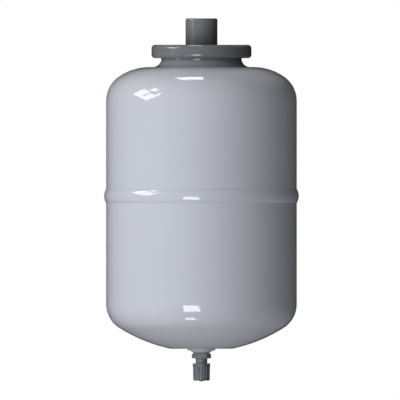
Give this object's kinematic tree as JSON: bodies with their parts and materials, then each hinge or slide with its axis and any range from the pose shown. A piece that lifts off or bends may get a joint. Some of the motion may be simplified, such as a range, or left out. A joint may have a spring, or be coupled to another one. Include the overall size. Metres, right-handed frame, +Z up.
{
  "type": "expansion vessel",
  "caption": "Upright bag-type expansion vessel: gloss painted steel tank with a mid-height band, dark screwed flange with a pipe stub on top, air valve with a screw cap below.",
  "frame": {"origin": "centre of the cover flange's top face, at the foot of the connection stub", "axes": "+Z up along the connection stub, away from the tank; the tank hangs below along -Z; +X and +Y are any two square directions, with two of the valve hexagon's corners on X"},
  "size_m": [0.1276, 0.1276, 0.238],
  "materials": {
    "tank_paint": "light grey gloss paint",
    "flange_coating": "dark grey satin coating",
    "screw_steel": "black oxide",
    "bare_steel": "mill finish",
    "butyl_rubber": "matt moulded",
    "seal_rubber": "matt",
    "valve_metal": "dark nickel plate",
    "core_brass": "turned",
    "spring_steel": "drawn wire",
    "cap_plastic": "fine moulded"
  },
  "bodies": {
    "root": {"connection_nipple": "flange_coating", "cover_flange": "flange_coating", "flange_screws": "screw_steel", "neck_collar": "flange_coating", "bladder": "butyl_rubber", "upper_shell": "tank_paint", "lower_shell": "tank_paint", "girth_band": "tank_paint", "backing_ring": "bare_steel", "valve_boss": "tank_paint", "valve_washer": "seal_rubber", "valve_stem": "valve_metal", "core_barrel": "core_brass", "core_seal": "seal_rubber", "core_spring": "spring_steel"},
    "plunger": {"core_pin": "core_brass", "core_cup": "core_brass", "core_cup_seal": "seal_rubber"},
    "cap_carriage": {"cap_gasket": "seal_rubber"},
    "cap": {"valve_cap": "cap_plastic"}
  },
  "joints": [
    {"name": "cap_turn", "type": "hinge", "parent": "cap_carriage", "child": "cap", "pos_m": [0, 0, -0.2089], "axis": [0, 0, -1], "range_deg": [0, 2160]},
    {"name": "cap_lift", "type": "slide", "parent": "root", "child": "cap_carriage", "axis": [0, 0, -1], "range_m": [0, 0.00476]},
    {"name": "core_pin_press", "type": "slide", "parent": "root", "child": "plunger", "axis": [0, 0, 1], "range_m": [0, 0.001], "stiffness_N_per_m": 300, "springref_m": -0.003, "deforming": ["core_spring"]}
  ],
  "couplings": [
    {"joint": "cap_turn", "follows": "cap_lift", "rad_per_m": 7915.8}
  ]
}
